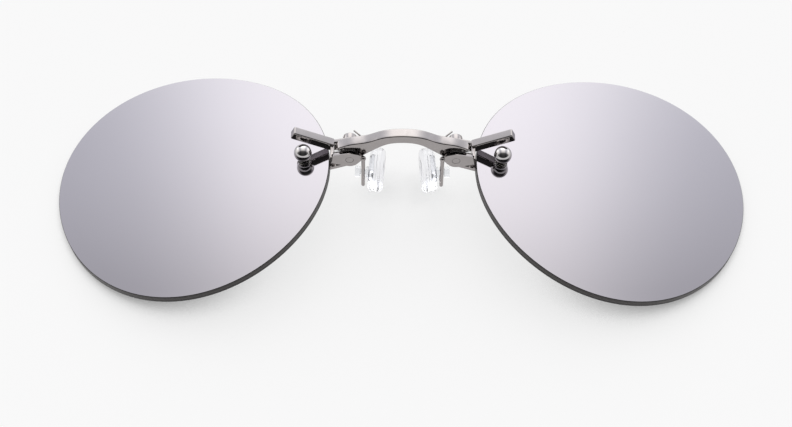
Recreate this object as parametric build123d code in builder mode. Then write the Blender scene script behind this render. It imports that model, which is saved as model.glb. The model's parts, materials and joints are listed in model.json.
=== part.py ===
"""Rimless pince-nez sunglasses: two round lenses on a sprung finger-piece bridge.

The glasses lie with the lens fronts up (+Z) and the wearer's "up" towards +Y.
Pieces of one side are drawn at +X and mirrored for the other side.
While drawing, heights are measured from a datum just below the pivots; seat()
then stands the finished pieces on the back rims of the lenses.
"""
import math
import os

from build123d import *

# Lenses
lens_diameter = 50.0
lens_lobe = 0.019  # how far the outline departs from a circle, as a share of its radius
lens_lobe_turn = 41.0  # degrees from the outer end to the first lobe
lens_front_radius = 265.0  # two-base curve
lens_level = -2.4  # height of the lens's front pole
lens_thickness = 1.35
lens_wrap = 10.5  # degrees that each lens turns round the face

# Hinges of the finger pieces: the pivots run along Y
pivot_spacing = 19.1
pivot_height = 1.7
pivot_pin_diameter = 1.4
pivot_head_diameter = 2.6
pivot_head_height = 1.6
screw_slot = 0.3

# Bridge: a flat strip that stands on edge and arches forward
bridge_bottom = 1.9
bridge_depth = 2.0  # along Y
bridge_rise = 5.76  # crown above the pivots
bridge_crown_thickness = 1.9
bridge_end_radius = 2.7
bridge_stop_turn = 41.0  # degrees above the pivot where the knuckle stops
bridge_corner_turn = 47.0
bridge_corner_radius = 3.1
bridge_edge_radius = 0.25
bridge_throat = 2.16  # from the pivot to where the arch meets the end block
bridge_throat_drop = 0.6
arch_outside = ((0.47, 0.15), (0.66, 0.30), (0.92, 0.40))  # shares of the pivot's x and of the rise
arch_inside = ((0.66, 0.17), (0.45, 0.44))
bridge_roof = 0.65
pocket_front = 2.35  # how far the spring pocket reaches in front of the pivot
pocket_width = 2.8
pocket_mouth = 3.35  # height of the pocket's outer opening

# Finger pieces
knuckle_gap = 0.15  # between the bridge's end and the knuckle
knuckle_thickness = 0.65
knuckle_low = -17.0
knuckle_high = 12.0
ear_thickness = 0.6
ear_gap = 0.15
leg_room = 0.5  # space above the bridge for the spring's leg
grip_size = 1.7
grip_length = 7.9
grip_angle = 24.5
grip_lens_gap = 0.25
grip_ball_gap = 0.14
grip_inset = 0.2  # how far the grip starts inside the lens's edge
grip_round = 0.25
ear_radius = 1.75
ear_tip_radius = 1.15
ear_shift = 2.35  # from the pivot to the middle of the tip
ear_nose_radius = 1.1
ear_nose_lift = 0.35
lower_ear_nose = 1.12

# Torsion springs
spring_wire = 0.36
spring_radius = 1.56
spring_turns = 4  # wound close, each turn against the next
tail_inset = 2.55  # corner of the tail, from the pivot towards the middle
tail_front = 2.5
tail_side = 1.8
tail_lift = 1.3
tail_forward = 0.7
spring_gap = 0.06
bend_swell = 0.01  # a bent wire is a little thicker at its corners
bush_wall = 0.32

# Lens fixings
lens_gap = 0.2  # from the knuckle to the lens's inner edge
hole_inset = 4.45
hole_height = 1.9
stud_diameter = 1.0
sleeve_wall = 0.3
collar_diameter = 2.3
collar_height = 0.4
ball_diameter = 3.2
ball_height = 2.1  # centre above the lens
ball_neck_diameter = 1.9
washer_diameter = 3.0
washer_thickness = 0.45
strap_thickness = 0.7
strap_width = 1.3
strap_eye_diameter = 3.0
lens_screw_head_diameter = 2.4
lens_screw_head_height = 0.7

# Pad arms and nose pads
arm_wire = 0.7
arm_ball_diameter = 1.0
arm_reach = 7.1  # length of the straight run behind the ball
arm_bend_radius = 0.95
arm_x = 7.1
arm_ball_rise = 0.15
arm_ball_front = 0.3
eye_diameter = 2.3
eye_bore = 1.5
eye_thickness = 0.6
pad_height = 9.4
pad_width = 5.2
pad_thickness = 2.8
pad_edge = 1.0
pad_lift = 0.68  # pad centre above its eye
pad_splay = 4.0
pad_stem_diameter = 0.9
pad_head_diameter = 2.0
pad_head_height = 0.9
pad_plate_height = 5.0
pad_plate_width = 2.4
pad_plate_thickness = 0.7
pad_collar_height = 0.45
pad_skin = 0.3  # soft material behind the core
pad_play = 0.25  # on each side of the eye

# Fits
turning_fit = 0.04  # radial clearance of a pin that turns
close_fit = 0.02  # clearance of pieces that are screwed or pushed together

# ---- Places that follow from the sizes above ----
pivot_x = pivot_spacing / 2
pin_radius = pivot_pin_diameter / 2
bridge_top = bridge_bottom + bridge_depth
crown_z = pivot_height + bridge_rise
knuckle_inner = bridge_end_radius + knuckle_gap
knuckle_outer = knuckle_inner + knuckle_thickness
lower_ear_top = bridge_bottom - ear_gap
lower_ear_bottom = lower_ear_top - ear_thickness
upper_ear_bottom = bridge_top + leg_room
upper_ear_top = upper_ear_bottom + ear_thickness
pocket_top = bridge_top - bridge_roof
coil_room = spring_radius + spring_wire / 2 + 2 * spring_gap

lens_radius = lens_diameter / 2
wrap = math.radians(lens_wrap)


def sag(radius):
    """Depth of the lens's front surface below its pole."""
    return lens_front_radius - math.sqrt(lens_front_radius**2 - radius**2)


def outline_radius(degrees):
    """Radius of the lens outline, counted from the outer end towards +Y."""
    return lens_radius * (1 + lens_lobe * math.cos(math.radians(3 * (degrees - lens_lobe_turn))))


def outline_point(degrees):
    """Point of the outline in the lens's own plane."""
    angle = math.radians(degrees)
    return (outline_radius(degrees) * math.cos(angle), outline_radius(degrees) * math.sin(angle))


inner_radius = outline_radius(180)
inner_edge = inner_radius * math.cos(wrap) + sag(inner_radius) * math.sin(wrap)
lens_x = pivot_x + knuckle_outer + lens_gap + inner_edge
lens_plane = Plane(
    origin=(lens_x, 0, lens_level),
    x_dir=(math.cos(wrap), 0, -math.sin(wrap)),
    z_dir=(math.sin(wrap), 0, math.cos(wrap)),
)

# The screw through the lens stands square to the front surface
hole_x = hole_inset - inner_radius
hole_radius = math.hypot(hole_x, hole_height)
hole_foot = lens_plane.from_local_coords((hole_x, hole_height, -sag(hole_radius)))
ball_of_curve = lens_plane.from_local_coords((0, 0, -lens_front_radius))
screw_plane = Plane(origin=hole_foot, x_dir=(0, 1, 0), z_dir=hole_foot - ball_of_curve)
strap_top_depth = lens_thickness + close_fit + washer_thickness + close_fit
strap_plane = screw_plane.offset(-strap_top_depth)
left_strap_plane = Plane(
    origin=(-strap_plane.origin.X, strap_plane.origin.Y, strap_plane.origin.Z),
    z_dir=(-strap_plane.z_dir.X, strap_plane.z_dir.Y, strap_plane.z_dir.Z),
)


# Lowest point of the back rim, and the middle of the lens along Y
rim_drops = [
    outline_point(turn)[0] * math.sin(wrap)
    + (sag(outline_radius(turn)) + lens_thickness) * math.cos(wrap)
    for turn in range(-90, 91)
]
rim_heights = [outline_point(turn)[1] for turn in range(360)]
stand_height = max(rim_drops) - lens_level
middle_y = (max(rim_heights) + min(rim_heights)) / 2

os.makedirs("parts", exist_ok=True)


def seat(part):
    """Stand a piece on the lens rims, with the lenses centred on Y = 0."""
    return Pos(0, -middle_y, stand_height) * part


def save_pair(piece, name):
    """Write the piece at +X and its mirror image as two nodes."""
    twin = mirror(piece.part, about=Plane.YZ)
    for side, part in (("right", piece.part), ("left", twin)):
        placed = seat(part)
        placed.label = f"{side}_{name}"
        export_step(placed, f"parts/{placed.label}.step")


def level(y):
    """Drawing plane across the pivots: local x is +X and local y is +Z."""
    return Plane.XZ.offset(-y)


# ---- Lens ----
with BuildPart() as lens:
    blank = 3 * lens_thickness + sag(1.1 * lens_radius)
    with BuildSketch(lens_plane.offset(-blank)):
        with BuildLine():
            Spline(*[outline_point(turn) for turn in range(0, 360, 15)], periodic=True)
        make_face()
    extrude(amount=2 * blank)
    with Locations(ball_of_curve):
        Sphere(lens_front_radius, mode=Mode.INTERSECT)
        Sphere(lens_front_radius - lens_thickness, mode=Mode.SUBTRACT)
    with BuildSketch(screw_plane):
        Circle(stud_diameter / 2 + sleeve_wall + 2 * close_fit)
    extrude(amount=2 * lens_thickness, both=True, mode=Mode.SUBTRACT)
save_pair(lens, "lens")

# ---- Lens fixings, from the front: ball nut, sleeve, washer, strap, screw ----
stud_bore = stud_diameter / 2 + close_fit

with BuildPart() as lens_sleeve:
    with BuildSketch(screw_plane):
        Circle(collar_diameter / 2)
        Circle(stud_bore, mode=Mode.SUBTRACT)
    extrude(amount=collar_height)
    with BuildSketch(screw_plane):
        Circle(stud_bore + sleeve_wall)
        Circle(stud_bore, mode=Mode.SUBTRACT)
    extrude(amount=-lens_thickness)
save_pair(lens_sleeve, "lens_sleeve")

with BuildPart() as ball_nut:
    nut_seat = collar_height + close_fit
    with BuildSketch(screw_plane.offset(nut_seat)):
        Circle(ball_neck_diameter / 2)
    extrude(amount=ball_height - nut_seat)
    with Locations(screw_plane.offset(ball_height)):
        Sphere(ball_diameter / 2)
    with BuildSketch(screw_plane.offset(nut_seat)):
        Circle(ball_diameter)
    extrude(amount=-ball_diameter, mode=Mode.SUBTRACT)
    with BuildSketch(screw_plane):
        Circle(stud_bore)
    extrude(amount=ball_height + close_fit, mode=Mode.SUBTRACT)
save_pair(ball_nut, "ball_nut")

with BuildPart() as lens_washer:
    with BuildSketch(screw_plane.offset(-lens_thickness - close_fit)):
        Circle(washer_diameter / 2)
        Circle(stud_bore, mode=Mode.SUBTRACT)
    extrude(amount=-washer_thickness)
save_pair(lens_washer, "lens_washer")

strap_inner_x = pivot_x - bridge_end_radius / 2
with BuildPart() as lens_strap:
    # Local x of the strap's plane is +Y and local y is -X
    with BuildSketch(strap_plane):
        Circle(strap_eye_diameter / 2)
        with Locations((bridge_top - hole_height, hole_foot.X - strap_inner_x)):
            Rectangle(strap_width, bridge_end_radius, align=(Align.MAX, Align.MAX))
        make_hull()
        Circle(stud_bore, mode=Mode.SUBTRACT)
    extrude(amount=-strap_thickness)
save_pair(lens_strap, "lens_strap")

with BuildPart() as lens_screw:
    strap_back = strap_top_depth + strap_thickness + close_fit
    with BuildSketch(screw_plane.offset(-strap_back)):
        Circle(lens_screw_head_diameter / 2)
    extrude(amount=-lens_screw_head_height)
    chamfer(lens_screw.edges().group_by(Axis.Z)[0], 0.2)
    with BuildSketch(screw_plane.offset(-strap_back)):
        Circle(stud_diameter / 2)
    extrude(amount=strap_back + ball_height)
    with BuildSketch(screw_plane.offset(-strap_back - lens_screw_head_height)):
        Rectangle(lens_screw_head_diameter * 1.2, screw_slot)
    extrude(amount=lens_screw_head_height / 2, mode=Mode.SUBTRACT)
save_pair(lens_screw, "lens_screw")

# ---- Bridge ----
corner_angle = math.radians(bridge_corner_turn)
stop_angle = math.radians(bridge_stop_turn)
end_corner = (
    pivot_x + bridge_corner_radius * math.cos(corner_angle),
    pivot_height + bridge_corner_radius * math.sin(corner_angle),
)
end_stop = (
    pivot_x + bridge_end_radius * math.cos(stop_angle),
    pivot_height + bridge_end_radius * math.sin(stop_angle),
)
end_foot = (pivot_x, pivot_height - bridge_end_radius)
end_middle = (pivot_x + bridge_end_radius, pivot_height)
heel = (strap_inner_x, pivot_height - bridge_end_radius)
throat = (pivot_x - bridge_throat, pivot_height - bridge_throat_drop)
under_crown = (0, crown_z - bridge_crown_thickness)

with BuildPart() as bridge:
    with BuildSketch(level(bridge_bottom)) as half_side:
        with BuildLine():
            Spline(
                (0, crown_z),
                *[(pivot_x * out, crown_z - bridge_rise * down) for out, down in arch_outside],
                end_corner,
                tangents=[(1, 0), (1, -0.55)],
            )
            Line(end_corner, end_stop)
            ThreePointArc(end_stop, end_middle, end_foot)
            Line(end_foot, heel)
            Line(heel, throat)
            Spline(
                throat,
                *[(pivot_x * out, pivot_height + bridge_rise * up) for out, up in arch_inside],
                under_crown,
                tangents=[(-0.1, 1), (-1, 0)],
            )
            Line(under_crown, (0, crown_z))
        make_face()
    with BuildSketch(level(bridge_bottom)) as whole_side:
        add(half_side.sketch_local)
        mirror(about=Plane.YZ)
    extrude(whole_side.sketch, amount=-bridge_depth, mode=Mode.REPLACE)
    fillet(bridge.edges().filter_by(GeomType.BSPLINE), bridge_edge_radius)
    # Spring pockets, open below and at the outer ends
    with BuildSketch(level(bridge_bottom)) as pockets:
        with Locations((pivot_x, pivot_height)):
            Circle(coil_room)
            Rectangle(2 * bridge_end_radius, pocket_mouth, align=(Align.MIN, Align.CENTER))
            Rectangle(pocket_width, pocket_front, align=(Align.CENTER, Align.MIN))
        mirror(about=Plane.YZ)
    extrude(pockets.sketch, amount=-(bridge_depth - bridge_roof), mode=Mode.SUBTRACT)
    with BuildSketch(level(bridge_bottom)) as holes:
        for side in (-1, 1):
            with Locations((side * pivot_x, pivot_height)):
                Circle(pin_radius + close_fit)
            with Locations((side * (pivot_x - spring_radius), pivot_height)):
                Circle(spring_wire / 2 + spring_gap)
    extrude(holes.sketch, amount=-bridge_depth, mode=Mode.SUBTRACT)
    split(bisect_by=strap_plane, keep=Keep.TOP)
    split(bisect_by=left_strap_plane, keep=Keep.TOP)
seated_bridge = seat(bridge.part).solid()
seated_bridge.label = "bridge"
export_step(seated_bridge, "parts/bridge.step")

# ---- Pivots: a headed pin and, inside the spring, a bush ----
with BuildPart() as pivot_pin:
    head_bottom = upper_ear_top + close_fit
    with BuildSketch(level(head_bottom)):
        with Locations((pivot_x, pivot_height)):
            Circle(pivot_head_diameter / 2)
    extrude(amount=-pivot_head_height)
    chamfer(pivot_pin.edges().group_by(Axis.Y)[-1], 0.2)
    with BuildSketch(level(head_bottom + pivot_head_height / 2)):
        with Locations((pivot_x, pivot_height)):
            Rectangle(pivot_head_diameter * 1.2, screw_slot, rotation=grip_angle)
    extrude(amount=-pivot_head_height, mode=Mode.SUBTRACT)
    with BuildSketch(level(lower_ear_bottom)):
        with Locations((pivot_x, pivot_height)):
            Circle(pin_radius)
    extrude(amount=-(head_bottom - lower_ear_bottom))
save_pair(pivot_pin, "pivot_pin")

with BuildPart() as spring_bush:
    with BuildSketch(level(bridge_bottom)):
        with Locations((pivot_x, pivot_height)):
            Circle(pin_radius + close_fit + bush_wall)
            Circle(pin_radius + close_fit, mode=Mode.SUBTRACT)
    extrude(amount=-(pocket_top - bridge_bottom - close_fit))
save_pair(spring_bush, "spring_bush")

# ---- Torsion spring: a coil round the bush, a leg on the knuckle and a tail above the bridge ----
coil_bottom = bridge_bottom + spring_wire / 2
coil_top = pocket_top - close_fit - spring_wire / 2
leg_level = bridge_top + close_fit + spring_wire / 2
leg_end_radius = (knuckle_inner + knuckle_outer) / 2
leg_rise = spring_wire / 2 + close_fit
leg_turn = math.radians(knuckle_high)
low_leg_end = Vector(
    pivot_x + leg_end_radius * math.cos(leg_turn) - leg_rise * math.sin(leg_turn),
    coil_bottom,
    pivot_height + leg_end_radius * math.sin(leg_turn) + leg_rise * math.cos(leg_turn),
)
tail_corner = Vector(pivot_x - tail_inset, leg_level, pivot_height + tail_front)
with BuildPart() as torsion_spring:
    turn_pitch = (coil_top - coil_bottom) / (spring_turns - 1)
    for turn in range(spring_turns):
        turn_centre = (pivot_x, coil_bottom + turn * turn_pitch, pivot_height)
        with Locations(Plane(origin=turn_centre, z_dir=(0, 1, 0))):
            Torus(spring_radius, spring_wire / 2)
    leg_start = Vector(pivot_x, coil_bottom, pivot_height + spring_radius)
    tail_points = (
        Vector(pivot_x - spring_radius, coil_top, pivot_height),
        Vector(pivot_x - spring_radius, leg_level, pivot_height),
        tail_corner,
        tail_corner + Vector(tail_side, tail_lift, tail_forward),
    )
    with Locations(*tail_points[1:-1]):
        Sphere(spring_wire / 2 + bend_swell)
    for start, end in ((leg_start, low_leg_end), *zip(tail_points, tail_points[1:])):
        with BuildSketch(Plane(origin=start, z_dir=end - start)) as leg_end:
            Circle(spring_wire / 2)
        extrude(leg_end.sketch, amount=(end - start).length)
save_pair(torsion_spring, "torsion_spring")

# ---- Finger piece: two ears round the bridge's end, the knuckle and the grip ----
grip_rise = math.radians(grip_angle)
grip_normal = Vector(-math.sin(grip_rise), 0, math.cos(grip_rise))
grip_way = Vector(math.cos(grip_rise), 0, math.sin(grip_rise))
inner_rim = lens_plane.from_local_coords((-inner_radius, 0, -sag(inner_radius)))
grip_start = inner_rim + grip_normal * (grip_lens_gap + grip_size / 2)
grip_middle = grip_start + grip_way * (grip_length / 2 - grip_inset)
grip_bottom = hole_height + ball_diameter / 2 + grip_ball_gap
with BuildPart() as grip:
    with BuildSketch(level(grip_bottom)):
        with Locations((grip_middle.X, grip_middle.Z)):
            Rectangle(grip_length, grip_size, rotation=grip_angle)
    extrude(amount=-grip_size)
    fillet(grip.edges(), grip_round)

arm_y = lower_ear_bottom + arm_ball_rise
ball_centre = (arm_x, arm_y, pivot_height + arm_ball_front)
with BuildPart() as finger_piece:
    for ear_bottom, inner_reach in ((lower_ear_bottom, lower_ear_nose), (upper_ear_bottom, 0)):
        with BuildSketch(level(ear_bottom)):
            with Locations((pivot_x, pivot_height)):
                Circle(ear_radius)
            with Locations((pivot_x + ear_shift, pivot_height)):
                Circle(ear_tip_radius)
            with Locations((pivot_x - inner_reach, pivot_height + ear_nose_lift)):
                Circle(ear_nose_radius)
            make_hull()
        extrude(amount=-ear_thickness)
    with BuildSketch(level(lower_ear_bottom)):
        with Locations((pivot_x, pivot_height)):
            Circle(knuckle_outer)
            Circle(knuckle_inner, mode=Mode.SUBTRACT)
            far = 2 * knuckle_outer
            turns = [math.radians(knuckle_low), math.radians(knuckle_high)]
            sides = [(far * math.cos(turn), far * math.sin(turn)) for turn in turns]
            Polygon((0, 0), *sides, align=None, mode=Mode.INTERSECT)
    extrude(amount=-(upper_ear_top - lower_ear_bottom))
    add(grip.part)
    with BuildSketch(level(lower_ear_bottom)):
        with Locations((pivot_x, pivot_height)):
            Circle(pin_radius + turning_fit)
    extrude(amount=-(upper_ear_top - lower_ear_bottom), mode=Mode.SUBTRACT)
    with Locations(ball_centre):
        Sphere(arm_ball_diameter / 2, mode=Mode.SUBTRACT)
save_pair(finger_piece, "finger_piece")

# ---- Pad arm: a ball brazed to the lower ear, a gooseneck and the eye for the pad ----
arm_back = ball_centre[2] - arm_reach
eye_centre = Vector(arm_x, arm_y + 2 * arm_bend_radius, arm_back + arm_bend_radius)
with BuildPart() as pad_arm:
    with Locations(ball_centre):
        Sphere(arm_ball_diameter / 2)
    with BuildLine():
        run = Line(ball_centre, (arm_x, arm_y, arm_back))
        bend = TangentArc(run @ 1, (arm_x, arm_y + 2 * arm_bend_radius, arm_back), tangent=(0, 0, -1))
    with BuildSketch(Plane(origin=run @ 0, z_dir=run % 0)):
        Circle(arm_wire / 2)
    sweep()
    with BuildSketch(Plane.YZ.offset(arm_x - eye_thickness / 2)):
        with Locations((eye_centre.Y, eye_centre.Z)):
            Circle(eye_diameter / 2)
    extrude(amount=eye_thickness)
    with BuildSketch(Plane.YZ.offset(arm_x - arm_wire)):
        with Locations((eye_centre.Y, eye_centre.Z)):
            Circle(eye_bore / 2)
    extrude(amount=2 * arm_wire, mode=Mode.SUBTRACT)
save_pair(pad_arm, "pad_arm")

# ---- Nose pad: a hard core with a stem through the eye, and a soft pad moulded round it ----
splay = math.radians(pad_splay)
pad_plane = Plane(origin=eye_centre, x_dir=(0, 0, 1), z_dir=(-math.cos(splay), -math.sin(splay), 0))
neck = eye_thickness / 2 + pad_play
core_start = neck + pad_collar_height + pad_skin
with BuildPart() as pad_core:
    for start, length, diameter in (
        (-neck - pad_head_height, pad_head_height, pad_head_diameter),
        (-neck, 2 * neck, pad_stem_diameter),
        (neck, pad_collar_height + pad_skin, pad_head_diameter),
    ):
        with BuildSketch(pad_plane.offset(start)):
            Circle(diameter / 2)
        extrude(amount=length)
    with BuildSketch(pad_plane.offset(core_start)):
        with Locations((0, pad_lift)):
            Ellipse(pad_plate_width / 2, pad_plate_height / 2)
    extrude(amount=pad_plate_thickness)
save_pair(pad_core, "pad_core")

with BuildPart() as nose_pad:
    with BuildSketch(pad_plane.offset(neck + pad_collar_height)):
        with Locations((0, pad_lift)):
            Ellipse(pad_width / 2, pad_height / 2)
    extrude(amount=pad_thickness)
    fillet(nose_pad.edges(), pad_edge)
    add(pad_core.part, mode=Mode.SUBTRACT)
save_pair(nose_pad, "nose_pad")
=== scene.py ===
"""Looks of a pair of rimless pince-nez sunglasses: two silver mirrored lenses on a sprung nickel bridge."""
import json
import math

import bmesh
import bpy
from mathutils import Matrix, Vector

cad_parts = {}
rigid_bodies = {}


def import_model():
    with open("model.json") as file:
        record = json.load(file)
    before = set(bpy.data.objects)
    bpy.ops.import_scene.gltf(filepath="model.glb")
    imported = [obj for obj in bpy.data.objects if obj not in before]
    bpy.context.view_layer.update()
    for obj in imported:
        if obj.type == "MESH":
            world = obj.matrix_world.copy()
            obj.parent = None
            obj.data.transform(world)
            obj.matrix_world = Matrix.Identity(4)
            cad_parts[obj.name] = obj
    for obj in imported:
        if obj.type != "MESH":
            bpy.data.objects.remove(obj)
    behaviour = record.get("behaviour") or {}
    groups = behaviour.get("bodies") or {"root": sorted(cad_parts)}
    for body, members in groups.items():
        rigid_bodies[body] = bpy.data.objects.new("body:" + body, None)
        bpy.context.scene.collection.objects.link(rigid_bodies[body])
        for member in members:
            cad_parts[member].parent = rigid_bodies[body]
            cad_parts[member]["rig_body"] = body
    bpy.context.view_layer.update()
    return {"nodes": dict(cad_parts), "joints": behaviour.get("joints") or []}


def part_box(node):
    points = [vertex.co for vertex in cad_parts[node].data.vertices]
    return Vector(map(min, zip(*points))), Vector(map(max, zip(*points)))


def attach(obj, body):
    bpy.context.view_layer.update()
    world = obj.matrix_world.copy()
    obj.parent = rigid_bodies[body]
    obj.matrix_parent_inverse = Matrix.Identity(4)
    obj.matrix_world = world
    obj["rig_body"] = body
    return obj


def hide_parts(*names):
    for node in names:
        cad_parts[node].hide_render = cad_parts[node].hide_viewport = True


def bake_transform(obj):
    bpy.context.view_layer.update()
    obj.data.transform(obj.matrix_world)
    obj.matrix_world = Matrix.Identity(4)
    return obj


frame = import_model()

MM = 0.001
SIDES = {"right": 1, "left": -1}
JOINTS = {joint["name"]: Vector(joint["pos_m"]) for joint in frame["joints"]}

# Sizes of the lenses, in mm
lens_radius = 25.0
lens_lobe = 0.019  # how far the outline departs from a circle, as a share of its radius
lens_lobe_turn = 41.0
lens_front_radius = 265.0
lens_thickness = 1.35
lens_wrap = math.radians(10.5)
lens_bevel = 0.08
hole_inset = 4.45
hole_height = 1.9
hole_radius = 0.84

# Sizes of the fixings and the springs, in mm
ball_radius = 1.6
ball_height = 2.1
ball_foot = 0.42
ball_neck_radius = 0.95
ball_neck_fillet = 0.14
spring_wire = 0.3
spring_radius = 1.56
spring_turns = 3.25
spring_bend = 0.5
tail_inset = 2.55
tail_front = 2.5
tail_side = 1.8
tail_forward = 0.7
tail_lift = 1.3
leg_reach = 3.1
leg_turn = math.radians(17)

# Sizes of the pad arms and the nose pads, in mm
arm_wire = 0.7
arm_ball_diameter = 1.0
arm_bend_radius = 0.95
eye_diameter = 2.3
eye_bore = 1.5
eye_thickness = 0.6
pad_back = 1.0  # from the eye to the back of the pad
pad_height = 9.4
pad_width = 5.2
pad_thickness = 2.8
pad_edge = 1.0
pad_lift = 0.68
pad_splay = math.radians(4)
pad_rib_spacing = 0.95
pad_rib_depth = 0.1

# Edges of the pieces carried over from the frame
lever_edge = 0.1  # mm
small_edge = 0.05  # mm
sharpest_round = math.radians(38)  # a corner turned more than this gets a broken edge


# ---- Materials ----

def linear(code):
    """An sRGB hex colour as linear RGBA."""
    channels = [int(code[i:i + 2], 16) / 255 for i in (1, 3, 5)]
    return [c / 12.92 if c <= 0.04045 else ((c + 0.055) / 1.055) ** 2.4 for c in channels] + [1.0]


def add(tree, kind, values=None, **settings):
    """Add a node: settings are its properties, values its inputs or the sockets that feed them."""
    made = tree.nodes.new(kind)
    for name, value in settings.items():
        setattr(made, name, value)
    for name, value in (values or {}).items():
        if isinstance(value, bpy.types.NodeSocket):
            tree.links.new(value, made.inputs[name])
        else:
            made.inputs[name].default_value = value
    return made


def per_mm(size):
    """Texture scale of a pattern whose feature measures size mm."""
    return 1 / (size * MM)


def start(name, **values):
    """A material, its node tree and its shader, with constants set on the shader's own sockets."""
    material = bpy.data.materials.new(name)
    material.use_nodes = True
    tree = material.node_tree
    shader = tree.nodes["Principled BSDF"]
    for socket, value in values.items():
        shader.inputs[socket.replace("_", " ")].default_value = value
    place = add(tree, "ShaderNodeTexCoord").outputs["Object"]
    return material, tree, shader, place


def polished_nickel(name, light, dark, smooth, rough, scratch):
    """Nickel-plated and buffed: clear reflections with a faint haze and hair-fine buffing marks."""
    material, tree, shader, place = start(name, Metallic=1.0)
    haze = add(tree, "ShaderNodeTexNoise", {"Vector": place, "Scale": per_mm(1.6), "Detail": 4.0})
    tone = add(tree, "ShaderNodeMix", {"Factor": haze.outputs["Fac"], "A": linear(light), "B": linear(dark)},
               data_type="RGBA")
    tree.links.new(tone.outputs["Result"], shader.inputs["Base Color"])
    wear = add(tree, "ShaderNodeTexNoise", {"Vector": place, "Scale": per_mm(0.35), "Detail": 6.0})
    blur = add(tree, "ShaderNodeMapRange", {"Value": wear.outputs["Fac"], "From Min": 0.3, "From Max": 0.7,
                                            "To Min": smooth, "To Max": rough})
    tree.links.new(blur.outputs["Result"], shader.inputs["Roughness"])
    along = add(tree, "ShaderNodeMapping", {"Vector": place, "Scale": (0.08, 1.0, 1.0)})
    marks = add(tree, "ShaderNodeTexNoise", {"Vector": along.outputs["Vector"], "Scale": per_mm(scratch),
                                             "Detail": 3.0})
    bump = add(tree, "ShaderNodeBump", {"Height": marks.outputs["Fac"], "Strength": 0.25, "Distance": 0.01 * MM})
    tree.links.new(bump.outputs["Normal"], shader.inputs["Normal"])
    return material


def spring_steel():
    """Stainless spring wire, cold drawn: darker than the plating, with fine draw lines round the wire."""
    material, tree, shader, place = start("stainless_spring_wire", Metallic=1.0)
    lines = add(tree, "ShaderNodeTexNoise", {"Vector": place, "Scale": per_mm(0.12), "Detail": 5.0})
    tone = add(tree, "ShaderNodeMix", {"Factor": lines.outputs["Fac"],
                                       "A": linear("#8f8c8b"), "B": linear("#b9b6b4")}, data_type="RGBA")
    tree.links.new(tone.outputs["Result"], shader.inputs["Base Color"])
    blur = add(tree, "ShaderNodeMapRange", {"Value": lines.outputs["Fac"], "To Min": 0.18, "To Max": 0.34})
    tree.links.new(blur.outputs["Result"], shader.inputs["Roughness"])
    bump = add(tree, "ShaderNodeBump", {"Height": lines.outputs["Fac"], "Strength": 0.2, "Distance": 0.01 * MM})
    tree.links.new(bump.outputs["Normal"], shader.inputs["Normal"])
    return material


def mirror_coating():
    """Vacuum-coated silver mirror on the lens front: a cool grey reflection with the least drift in tone."""
    material, tree, shader, place = start("silver_mirror_coating", Metallic=1.0)
    drift = add(tree, "ShaderNodeTexNoise", {"Vector": place, "Scale": per_mm(22.0), "Detail": 2.0})
    tone = add(tree, "ShaderNodeMix", {"Factor": drift.outputs["Fac"],
                                       "A": linear("#9e9ba0"), "B": linear("#a09da2")}, data_type="RGBA")
    tree.links.new(tone.outputs["Result"], shader.inputs["Base Color"])
    film = add(tree, "ShaderNodeTexNoise", {"Vector": place, "Scale": per_mm(3.0), "Detail": 6.0})
    blur = add(tree, "ShaderNodeMapRange", {"Value": film.outputs["Fac"], "From Min": 0.35, "From Max": 0.75,
                                            "To Min": 0.03, "To Max": 0.065})
    tree.links.new(blur.outputs["Result"], shader.inputs["Roughness"])
    return material


def lens_edge():
    """Laminated lens, ground and bevelled: a dark matt edge with the paler polarising film along its middle."""
    material, tree, shader, place = start("ground_laminate_edge", IOR=1.5)
    depth = add(tree, "ShaderNodeAttribute", attribute_name="depth").outputs["Fac"]
    plies = add(tree, "ShaderNodeValToRGB", {"Fac": depth})
    stops = plies.color_ramp.elements
    stops[0].position, stops[0].color = 0.0, linear("#2b2726")
    stops[1].position, stops[1].color = 1.0, linear("#171414")
    for position, code in ((0.3, "#3a3534"), (0.42, "#5d5756"), (0.56, "#524c4b"), (0.66, "#2a2524")):
        stops.new(position).color = linear(code)
    grain = add(tree, "ShaderNodeTexNoise", {"Vector": place, "Scale": per_mm(0.2), "Detail": 6.0})
    shade = add(tree, "ShaderNodeMapRange", {"Value": grain.outputs["Fac"], "To Min": 0.75, "To Max": 1.25})
    tone = add(tree, "ShaderNodeVectorMath", {0: plies.outputs["Color"], "Scale": shade.outputs["Result"]},
               operation="SCALE")
    tree.links.new(tone.outputs["Vector"], shader.inputs["Base Color"])
    blur = add(tree, "ShaderNodeMapRange", {"Value": grain.outputs["Fac"], "To Min": 0.3, "To Max": 0.5})
    tree.links.new(blur.outputs["Result"], shader.inputs["Roughness"])
    bump = add(tree, "ShaderNodeBump", {"Height": grain.outputs["Fac"], "Strength": 0.3, "Distance": 0.02 * MM})
    tree.links.new(bump.outputs["Normal"], shader.inputs["Normal"])
    return material


def lens_back():
    """Smoke-grey tinted lens seen from behind: nearly black, glossy, with the mirror's sheen under it."""
    material, tree, shader, place = start("smoke_tinted_lens_back", IOR=1.5, Coat_Weight=0.6, Coat_Roughness=0.03)
    drift = add(tree, "ShaderNodeTexNoise", {"Vector": place, "Scale": per_mm(18.0), "Detail": 3.0})
    tone = add(tree, "ShaderNodeMix", {"Factor": drift.outputs["Fac"],
                                       "A": linear("#242328"), "B": linear("#2e2c31")}, data_type="RGBA")
    tree.links.new(tone.outputs["Result"], shader.inputs["Base Color"])
    film = add(tree, "ShaderNodeTexNoise", {"Vector": place, "Scale": per_mm(3.0), "Detail": 6.0})
    blur = add(tree, "ShaderNodeMapRange", {"Value": film.outputs["Fac"], "To Min": 0.05, "To Max": 0.12})
    tree.links.new(blur.outputs["Result"], shader.inputs["Roughness"])
    return material


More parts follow.
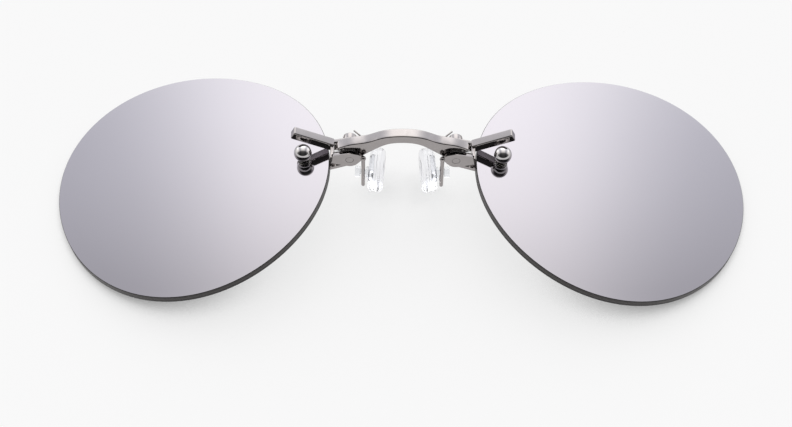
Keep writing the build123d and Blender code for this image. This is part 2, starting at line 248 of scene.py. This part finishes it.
def clear_moulding(name, ior, light, dark, smooth, rough, flow):
    """Clear moulded plastic or silicone: glass-like, with faint flow waves and a breath of haze."""
    material, tree, shader, place = start(name, IOR=ior, Transmission_Weight=1.0)
    cloud = add(tree, "ShaderNodeTexNoise", {"Vector": place, "Scale": per_mm(2.5), "Detail": 3.0})
    tone = add(tree, "ShaderNodeMix", {"Factor": cloud.outputs["Fac"], "A": linear(light), "B": linear(dark)},
               data_type="RGBA")
    tree.links.new(tone.outputs["Result"], shader.inputs["Base Color"])
    blur = add(tree, "ShaderNodeMapRange", {"Value": cloud.outputs["Fac"], "To Min": smooth, "To Max": rough})
    tree.links.new(blur.outputs["Result"], shader.inputs["Roughness"])
    waves = add(tree, "ShaderNodeTexNoise", {"Vector": place, "Scale": per_mm(flow), "Detail": 2.0})
    bump = add(tree, "ShaderNodeBump", {"Height": waves.outputs["Fac"], "Strength": 0.4, "Distance": 0.03 * MM})
    tree.links.new(bump.outputs["Normal"], shader.inputs["Normal"])
    return material


NICKEL = polished_nickel("polished_nickel_plating", "#a7a2a1", "#9b9695", 0.06, 0.14, 0.1)
CHROME = polished_nickel("polished_chrome_ball", "#c6c4c4", "#bdbaba", 0.02, 0.05, 0.2)
SATIN = polished_nickel("satin_nickel_hardware", "#bdb8b6", "#aaa5a3", 0.2, 0.34, 0.08)
SPRING = spring_steel()
MIRROR = mirror_coating()
EDGE = lens_edge()
SMOKE = lens_back()
SILICONE = clear_moulding("clear_silicone_rubber", 1.41, "#fbfbfd", "#f3f3f6", 0.14, 0.24, 1.2)
CORE = clear_moulding("clear_polycarbonate", 1.585, "#f7f8fa", "#eef0f3", 0.02, 0.06, 0.8)
BUSH = clear_moulding("clear_nylon_bush", 1.53, "#e6e4df", "#dad7d1", 0.25, 0.35, 0.6)


# ---- Meshes ----

def make_piece(name, vertices, faces, materials, shades=None, smooth_angle=38):
    """A piece from mesh data, smooth except along its edges."""
    mesh = bpy.data.meshes.new(name)
    mesh.from_pydata([tuple(v) for v in vertices], [], faces)
    shape = bmesh.new()
    shape.from_mesh(mesh)
    bmesh.ops.recalc_face_normals(shape, faces=shape.faces)
    shape.to_mesh(mesh)
    shape.free()
    for material in materials:
        mesh.materials.append(material)
    for index, face in enumerate(mesh.polygons):
        face.material_index = shades[index] if shades else 0
        face.use_smooth = True
    mesh.set_sharp_from_angle(angle=math.radians(smooth_angle))
    piece = bpy.data.objects.new(name, mesh)
    bpy.context.scene.collection.objects.link(piece)
    return piece


def skin(rings, closed=False):
    """Vertices and faces of a skin over rings of points; a closed one joins its last ring to its first."""
    count = len(rings[0])
    vertices = [point for ring in rings for point in ring]
    faces = []
    for row in range(len(rings) if closed else len(rings) - 1):
        here = row * count
        there = (row + 1) % len(rings) * count
        for i in range(count):
            j = (i + 1) % count
            faces.append((here + i, here + j, there + j, there + i))
    if not closed:
        faces.append(tuple(range(count)))
        faces.append(tuple(range(len(vertices) - count, len(vertices))))
    return vertices, faces


def circle(centre, across, up, radius, sides):
    """Points of a circle round centre, in the plane of the unit vectors across and up."""
    turns = [2 * math.pi * i / sides for i in range(sides)]
    return [centre + radius * (math.cos(t) * across + math.sin(t) * up) for t in turns]


def square_to(axis):
    """Two unit vectors square to axis and to each other."""
    across = axis.orthogonal().normalized()
    return across, axis.cross(across).normalized()


def lathe(profile, origin, axis, sides=64):
    """Rings of a turned shape; the profile lists (radius, height along axis)."""
    across, up = square_to(axis)
    return [circle(origin + height * axis, across, up, radius, sides) for radius, height in profile]


def tube(path, radius, sides=20):
    """Rings of a round wire along a path, with softly rounded ends."""
    ways = [(b - a).normalized() for a, b in zip(path, path[1:])]
    tangents = [ways[0]] + [(a + b).normalized() for a, b in zip(ways, ways[1:])] + [ways[-1]]
    across, up = square_to(tangents[0])
    rings = []
    for index, (point, tangent) in enumerate(zip(path, tangents)):
        across = (across - across.dot(tangent) * tangent).normalized()
        up = tangent.cross(across)
        if index == 0:
            rings += [circle(point - 0.3 * radius * tangent, across, up, 0.55 * radius, sides),
                      circle(point - 0.15 * radius * tangent, across, up, 0.87 * radius, sides)]
        rings.append(circle(point, across, up, radius, sides))
        if index == len(path) - 1:
            rings += [circle(point + 0.15 * radius * tangent, across, up, 0.87 * radius, sides),
                      circle(point + 0.3 * radius * tangent, across, up, 0.55 * radius, sides)]
    return rings


def rounded(corners, radius, steps=6):
    """A path through corners, each corner but the ends replaced by a smooth bend."""
    path = [corners[0]]
    for before, corner, after in zip(corners, corners[1:], corners[2:]):
        enter = corner + min(radius, 0.45 * (before - corner).length) * (before - corner).normalized()
        leave = corner + min(radius, 0.45 * (after - corner).length) * (after - corner).normalized()
        for step in range(steps + 1):
            share = step / steps
            path.append((1 - share) ** 2 * enter + 2 * share * (1 - share) * corner + share ** 2 * leave)
    return path + [corners[-1]]


def fit(piece, body, node):
    """Let a piece ride on its body and stand for its node."""
    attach(piece, body)
    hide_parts(node)


def refine(node, name, material, edge):
    """A finished copy of a machined piece: welded, its flats made whole and its edges softly broken."""
    source = frame["nodes"][node]
    shape = bmesh.new()
    shape.from_mesh(source.data)
    bmesh.ops.remove_doubles(shape, verts=shape.verts, dist=0.0005 * MM)
    bmesh.ops.dissolve_limit(shape, angle_limit=math.radians(0.5), verts=shape.verts, edges=shape.edges)
    mesh = bpy.data.meshes.new(name)
    shape.to_mesh(mesh)
    shape.free()
    if "custom_normal" in mesh.attributes:
        mesh.attributes.remove(mesh.attributes["custom_normal"])
    mesh.materials.clear()
    mesh.materials.append(material)
    piece = bpy.data.objects.new(name, mesh)
    bpy.context.scene.collection.objects.link(piece)
    bevel = piece.modifiers.new("broken_edges", "BEVEL")
    bevel.width = edge * MM
    bevel.segments = 3
    bevel.limit_method = "ANGLE"
    bevel.angle_limit = sharpest_round
    finished = bpy.data.meshes.new_from_object(piece.evaluated_get(bpy.context.evaluated_depsgraph_get()))
    piece.modifiers.clear()
    piece.data = finished
    for face in finished.polygons:
        face.material_index = 0
        face.use_smooth = True
    finished.set_sharp_from_angle(angle=math.radians(30))
    fit(piece, source["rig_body"], node)


# ---- Lenses ----

def sag(radius):
    """Depth of the lens's front below its pole, in mm."""
    return lens_front_radius - math.sqrt(lens_front_radius ** 2 - radius ** 2)


def outline(turn):
    """Point of the lens outline in the lens's own plane, counted from the outer end, in mm."""
    radius = lens_radius * (1 + lens_lobe * math.cos(3 * (turn - math.radians(lens_lobe_turn))))
    return Vector((radius * math.cos(turn), radius * math.sin(turn)))


lens_sides = 256
lens_rings = 26
rim_rows = 8
ring_crowding = 1.25  # rings lie closer together round the hole
OUTLINE = [outline(2 * math.pi * i / lens_sides) for i in range(lens_sides)]
HOLE = Vector((hole_inset - lens_radius * (1 + lens_lobe * math.cos(3 * (math.pi - math.radians(lens_lobe_turn)))),
               hole_height))


def lens_pose(side):
    """Matrix from the lens's own plane, in mm, to the frame, in metres."""
    low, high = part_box("right_lens")
    outer = max(p.x * math.cos(lens_wrap) - sag(p.length) * math.sin(lens_wrap) for p in OUTLINE)
    drop = max(abs(p.x) * math.sin(lens_wrap) + (sag(p.length) + lens_thickness) * math.cos(lens_wrap)
               for p in OUTLINE if p.x > 0)
    middle = (max(p.y for p in OUTLINE) + min(p.y for p in OUTLINE)) / 2
    pole = Vector((high.x / MM - outer, (low.y + high.y) / 2 / MM - middle, low.z / MM + drop))
    tilt = Matrix.Rotation(lens_wrap, 4, "Y")
    pose = Matrix.Scale(MM, 4) @ Matrix.Translation(pole) @ tilt
    if side < 0:
        pose = Matrix.Scale(-1, 4, (1, 0, 0)) @ pose
    return pose


def surface_point(place, depth):
    """Point at a place in the lens's plane, depth mm behind the front surface."""
    reach = lens_front_radius - depth
    return Vector((place.x, place.y, math.sqrt(reach ** 2 - place.length_squared) - lens_front_radius))


def make_lens(name, side):
    """Mirrored lens: ground to a sphere on both faces, drilled and finely bevelled all round."""
    pose = lens_pose(side)
    hole_back = HOLE * (1 - lens_thickness / lens_front_radius)
    rings, shades, depths = [], [], []

    def ring(points, shade, depth):
        rings.append([pose @ point for point in points])
        shades.append(shade)
        depths.append(depth)

    def face_ring(share, hole, inset, depth):
        points = []
        for edge in OUTLINE:
            way = (edge - hole).normalized()
            inner = hole + (hole_radius + inset) * way
            outer = edge - inset * edge.normalized()
            points.append(surface_point(inner.lerp(outer, share), depth))
        return points

    for index in range(lens_rings + 1):
        ring(face_ring((index / lens_rings) ** ring_crowding, HOLE, lens_bevel, 0), 0, 0.0)
    for index in range(rim_rows + 1):
        depth = lens_bevel + (lens_thickness - 2 * lens_bevel) * index / rim_rows
        ring(face_ring(1, HOLE, 0, depth), 1, depth / lens_thickness)
    for index in range(lens_rings + 1):
        ring(face_ring((1 - index / lens_rings) ** ring_crowding, hole_back, lens_bevel, lens_thickness), 2, 1.0)
    ring(face_ring(0, hole_back, 0, lens_thickness - lens_bevel), 1, 0.9)
    ring(face_ring(0, HOLE, 0, lens_bevel), 1, 0.1)

    vertices, faces = skin(rings, closed=True)
    rows = []
    for row, shade in enumerate(shades):
        following = shades[(row + 1) % len(shades)]
        rows += [shade if shade == following else 1] * lens_sides
    piece = make_piece(name, vertices, faces, [MIRROR, EDGE, SMOKE], rows, 25)
    attribute = piece.data.attributes.new("depth", "FLOAT", "POINT")
    for index, item in enumerate(attribute.data):
        item.value = depths[index // lens_sides]
    return piece


def make_ball_nut(name, side):
    """Ball nut: a turned ball on a short neck, with a small fillet between them."""
    pose = lens_pose(side)
    foot = surface_point(HOLE, 0)
    centre = Vector((0, 0, -lens_front_radius))
    origin = pose @ foot
    axis = (origin - pose @ centre).normalized()
    meet = math.asin(ball_neck_radius / ball_radius)
    profile = [(ball_neck_radius - 0.1, ball_foot), (ball_neck_radius, ball_foot + 0.06)]
    join = ball_height - ball_radius * math.cos(meet)
    profile.append((ball_neck_radius, join - ball_neck_fillet))
    for step in range(29):
        turn = meet + 0.12 + (math.pi - meet - 0.17) * step / 28
        profile.append((ball_radius * math.sin(turn), ball_height - ball_radius * math.cos(turn)))
    rings = lathe([(r * MM, h * MM) for r, h in profile], origin, axis, 72)
    return make_piece(name, *skin(rings), [CHROME])


# ---- Springs, pad arms and nose pads ----

def make_spring(name, side, pivot):
    """Torsion spring: a leg from the knuckle, the coil round its bush and a tail bent over the bridge."""
    low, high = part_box("right_spring_bush")
    bridge_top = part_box("bridge")[1].y / MM
    wire = spring_wire / 2
    first = low.y / MM + wire + 0.03
    last = high.y / MM - wire
    x, z = pivot.x / MM, pivot.z / MM
    leg_end = Vector((x + leg_reach * math.cos(leg_turn), first, z + leg_reach * math.sin(leg_turn)))
    steps = 40
    coil = []
    for step in range(int(spring_turns * steps) + 1):
        turn = math.pi / 2 + 2 * math.pi * step / steps
        rise = first + (last - first) * step / (spring_turns * steps)
        coil.append(Vector((x + spring_radius * math.cos(turn), rise, z + spring_radius * math.sin(turn))))
    tail_level = bridge_top + wire + 0.02
    corner = Vector((x - tail_inset, tail_level, z + tail_front))
    tail = rounded([coil[-1], Vector((x - spring_radius, tail_level, z)), corner,
                    corner + Vector((tail_side, tail_lift, tail_forward))], spring_bend)
    path = [leg_end] + coil + tail[1:]
    mirrored = Matrix.Scale(side, 4, (1, 0, 0)) if side < 0 else Matrix()
    rings = tube([mirrored @ (p * MM) for p in path], wire * MM, 16)
    return make_piece(name, *skin(rings), [SPRING], smooth_angle=60)


def make_pad_arm(name, word, eye):
    """Pad arm: a wire with a brazed ball at the ear, bent back like a gooseneck to the flat eye."""
    wire_y = eye.y / MM - 2 * arm_bend_radius
    ball_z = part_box(f"{word}_pad_arm")[1].z / MM - arm_ball_diameter / 2
    x, y, z = eye.x / MM, eye.y / MM, eye.z / MM
    ball = Vector((x, wire_y, ball_z))
    path = [ball, ball.lerp(Vector((x, wire_y, z - arm_bend_radius)), 0.5)]
    for step in range(17):
        turn = math.pi * step / 16
        path.append(Vector((x, y - arm_bend_radius - arm_bend_radius * math.cos(turn),
                            z - arm_bend_radius - arm_bend_radius * math.sin(turn))))
    wire = skin(tube([p * MM for p in path], arm_wire / 2 * MM, 24))
    radius = arm_ball_diameter / 2
    turns = [0.05 + (math.pi - 0.1) * step / 20 for step in range(21)]
    bead = [(radius * math.sin(t) * MM, -radius * math.cos(t) * MM) for t in turns]
    ball_skin = skin(lathe(bead, ball * MM, Vector((0, 0, 1)), 32))
    outer, inner, half, soft = eye_diameter / 2, eye_bore / 2, eye_thickness / 2, 0.12
    section = []
    for centre_r, centre_h, first in ((outer - soft, half - soft, 0), (inner + soft, half - soft, 1),
                                      (inner + soft, soft - half, 2), (outer - soft, soft - half, 3)):
        for step in range(4):
            turn = math.pi / 2 * (first + step / 3)
            section.append(((centre_r + soft * math.cos(turn)) * MM, (centre_h + soft * math.sin(turn)) * MM))
    ring_skin = skin(lathe(section, eye, Vector((1, 0, 0)), 48), closed=True)
    vertices, faces = [], []
    for part_vertices, part_faces in (wire, ball_skin, ring_skin):
        offset = len(vertices)
        vertices += part_vertices
        faces += [tuple(i + offset for i in face) for face in part_faces]
    return make_piece(name, vertices, faces, [NICKEL], smooth_angle=50)


def make_nose_pad(name, side, eye):
    """Nose pad: soft clear silicone, oval and rounded all round, with shallow grip ribs on its face."""
    face_way = Vector((-side * math.cos(pad_splay), -math.sin(pad_splay), 0))
    long_way = Vector((-side * math.sin(pad_splay), math.cos(pad_splay), 0))
    wide_way = Vector((0, 0, 1))
    long_half, wide_half = pad_height / 2, pad_width / 2
    profile = [(inset, 0.0) for inset in (2.35, 2.1, 1.8, 1.4)]
    profile += [(pad_edge - pad_edge * math.sin(t), pad_edge - pad_edge * math.cos(t))
                for t in [math.pi / 2 * s / 8 for s in range(9)]]
    parting = pad_thickness / 2
    profile += [(0.0, parting - 0.08), (-0.05, parting), (0.0, parting + 0.08)]
    profile += [(pad_edge - pad_edge * math.cos(t), pad_thickness - pad_edge + pad_edge * math.sin(t))
                for t in [math.pi / 2 * s / 8 for s in range(9)]]
    face_insets = [1.1 + 1.35 * s / 14 for s in range(15)]
    profile += [(inset, pad_thickness) for inset in face_insets]
    origin = eye / MM + pad_back * face_way + pad_lift * long_way
    rings = []
    for inset, height in profile:
        ring = []
        for i in range(96):
            turn = 2 * math.pi * i / 96
            a = (long_half - inset) * math.cos(turn)
            b = (wide_half - inset) * math.sin(turn)
            level = height
            if height >= pad_thickness and inset > pad_edge:
                fade = min(1.0, (inset - pad_edge) / 0.4) * min(1.0, max(0.0, (long_half - 1.2 - abs(a)) / 0.8))
                level -= pad_rib_depth * fade * (0.5 - 0.5 * math.cos(2 * math.pi * b / pad_rib_spacing))
            ring.append((origin + a * long_way + b * wide_way + level * face_way) * MM)
        rings.append(ring)
    return make_piece(name, *skin(rings), [SILICONE], smooth_angle=60)


# ---- The glasses ----

refine("bridge", "nickel_bridge", NICKEL, small_edge)
for word, side in SIDES.items():
    eye = JOINTS[f"{word}_pad_rock"]
    lever = f"{word}_lever"
    refine(f"{word}_finger_piece", f"{word}_sprung_lever", NICKEL, lever_edge)
    refine(f"{word}_pivot_pin", f"{word}_slotted_pin", NICKEL, small_edge)
    refine(f"{word}_lens_strap", f"{word}_back_strap", NICKEL, small_edge)
    refine(f"{word}_lens_screw", f"{word}_back_screw", SATIN, small_edge)
    refine(f"{word}_lens_washer", f"{word}_back_washer", BUSH, small_edge)
    refine(f"{word}_lens_sleeve", f"{word}_clear_sleeve", BUSH, small_edge)
    refine(f"{word}_spring_bush", f"{word}_plain_bush", SATIN, small_edge)
    refine(f"{word}_pad_core", f"{word}_clear_core", CORE, small_edge)
    fit(make_lens(f"{word}_mirror_lens", side), "frame", f"{word}_lens")
    fit(make_ball_nut(f"{word}_domed_nut", side), "frame", f"{word}_ball_nut")
    fit(make_pad_arm(f"{word}_gooseneck", word, eye), lever, f"{word}_pad_arm")
    fit(make_nose_pad(f"{word}_soft_pad", side, eye), f"{word}_pad", f"{word}_nose_pad")
    spring = make_spring(f"{word}_wire_spring", side, JOINTS["right_finger_pinch"])
    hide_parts(f"{word}_torsion_spring")
    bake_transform(spring)


# ---- Floor, light and camera ----

floor_tone = "#787878"
floor_glow = 0.778
painted_shadow_reach = 9.0  # mm from the object within which the table's glow fades in a painted contact shadow
painted_shadow_core = 0.12  # share of the glow left where the painted shadow is deepest
table_half = 3.0  # m
tent_strength = 2.6
studio_middle = 0.02
# Tones of the tent, darker to its sides and towards the camera: the first two stops are the ends
tones_across = [
    (0.0, (1.0, 1.0, 0.995)), (1.0, (1.1, 1.11, 1.14)), (0.14, (1.0, 1.0, 0.995)), (0.22, (0.98, 0.98, 0.98)),
    (0.3, (0.88, 0.885, 0.895)), (0.38, (0.68, 0.69, 0.71)), (0.46, (0.54, 0.55, 0.58)),
    (0.56, (0.45, 0.46, 0.49)), (0.66, (0.48, 0.49, 0.52)), (0.8, (1.1, 1.11, 1.14))]
tones_front = [
    (0.0, (0.02, 0.02, 0.02)), (1.0, (1.0, 1.0, 1.0)), (0.36, (0.02, 0.02, 0.02)), (0.46, (0.44, 0.43, 0.425)),
    (0.6, (0.53, 0.52, 0.515)), (0.72, (0.72, 0.71, 0.705)), (0.79, (0.92, 0.915, 0.91)), (0.86, (1.0, 1.0, 1.0))]


def make_floor():
    """Pale matt table top: it takes the lamps' shadow, and to the eye and in reflections it is the white
    background, whose glow is darkened near the object by a painted contact shadow.
    """
    corners = [(x * table_half, y * table_half, 0) for x, y in ((-1, -1), (1, -1), (1, 1), (-1, 1))]
    material, tree, shader, place = start("pale_table_painted_shadow", Roughness=0.9, Specular_IOR_Level=0.0,
                                          Base_Color=linear(floor_tone))
    path = add(tree, "ShaderNodeLightPath")
    seen = add(tree, "ShaderNodeMath", {0: path.outputs["Is Camera Ray"], 1: path.outputs["Is Glossy Ray"]},
               operation="ADD")
    seen = add(tree, "ShaderNodeMath", {0: seen.outputs["Value"], 1: path.outputs["Is Transmission Ray"]},
               operation="ADD", use_clamp=True)
    # Painted contact shadow: the glow is dimmed where ambient occlusion finds the object within reach
    near = add(tree, "ShaderNodeAmbientOcclusion", {"Distance": painted_shadow_reach * MM}, samples=6)
    near = add(tree, "ShaderNodeMapRange", {"Value": near.outputs["AO"], "From Min": 0.2, "From Max": 0.62,
                                            "To Min": painted_shadow_core * floor_glow, "To Max": floor_glow})
    glow = add(tree, "ShaderNodeMath", {0: seen.outputs["Value"], 1: near.outputs["Result"]}, operation="MULTIPLY")
    shader.inputs["Emission Color"].default_value = (1.0, 1.0, 1.0, 1.0)
    tree.links.new(glow.outputs["Value"], shader.inputs["Emission Strength"])
    floor = make_piece("table_top", [Vector(c) for c in corners], [(0, 1, 2, 3)], [material])


def make_studio():
    """A white tent with its brightest panel behind the object, paler sides and the dark gap for the camera."""
    world = bpy.data.worlds.new("studio_tent")
    bpy.context.scene.world = world
    world.use_nodes = True
    tree = world.node_tree
    background = tree.nodes["Background"]
    way = add(tree, "ShaderNodeSeparateXYZ", {"Vector": add(tree, "ShaderNodeTexCoord").outputs["Generated"]})
    sideways = add(tree, "ShaderNodeMath", {0: way.outputs["X"], 1: studio_middle}, operation="SUBTRACT")
    sideways = add(tree, "ShaderNodeMath", {0: sideways.outputs["Value"]}, operation="ABSOLUTE")
    depth = add(tree, "ShaderNodeMapRange", {"Value": way.outputs["Y"], "From Min": -1.0, "From Max": 1.0})
    across = add(tree, "ShaderNodeValToRGB", {"Fac": sideways.outputs["Value"]})
    front = add(tree, "ShaderNodeValToRGB", {"Fac": depth.outputs["Result"]})
    for blend, tones in ((across, tones_across), (front, tones_front)):
        blend.color_ramp.interpolation = "B_SPLINE"
        stops = blend.color_ramp.elements
        for index, (position, colour) in enumerate(tones):
            stop = stops[index] if index < 2 else stops.new(position)
            stop.position, stop.color = position, (*colour, 1.0)
    tent = add(tree, "ShaderNodeVectorMath", {0: across.outputs["Color"], 1: front.outputs["Color"]},
               operation="MULTIPLY")
    skirt = add(tree, "ShaderNodeMapRange", {"Value": way.outputs["Z"], "From Min": 0.05, "From Max": 0.2},
                interpolation_type="SMOOTHSTEP")
    horizon = (0.94 / tent_strength,) * 3 + (1.0,)
    whole = add(tree, "ShaderNodeMix", {"Factor": skirt.outputs["Result"], "A": horizon,
                                        "B": tent.outputs["Vector"]}, data_type="RGBA")
    tree.links.new(whole.outputs["Result"], background.inputs["Color"])
    background.inputs["Strength"].default_value = tent_strength


camera_distance = 0.3892  # m
camera_height = math.radians(52.32)
camera_turn = math.radians(-1.12)
camera_roll = math.radians(1.43)
camera_aim = Vector((-1.2, -12.45, -1.7)) * MM  # from the point between the two pivots


def make_camera():
    """Long lens, looking down at the glasses from the front."""
    height, turn, roll = camera_height, camera_turn, camera_roll
    pivot = JOINTS["right_finger_pinch"]
    target = Vector((0, pivot.y, pivot.z)) + camera_aim
    back = Vector((math.sin(turn) * math.cos(height), -math.cos(turn) * math.cos(height), math.sin(height)))
    right = Vector((math.cos(turn), math.sin(turn), 0))
    up = back.cross(right)
    across = math.cos(roll) * right + math.sin(roll) * up
    above = math.cos(roll) * up - math.sin(roll) * right
    data = bpy.data.cameras.new("front_camera")
    data.lens = 100.0
    data.sensor_width = 36.0
    data.clip_start = 0.01
    camera = bpy.data.objects.new("front_camera", data)
    bpy.context.scene.collection.objects.link(camera)
    camera.matrix_world = Matrix((across, above, back)).transposed().to_4x4()
    camera.location = target + camera_distance * back
    bpy.context.scene.camera = camera


make_floor()
make_studio()
make_camera()
bpy.context.scene.view_settings.view_transform = "Standard"
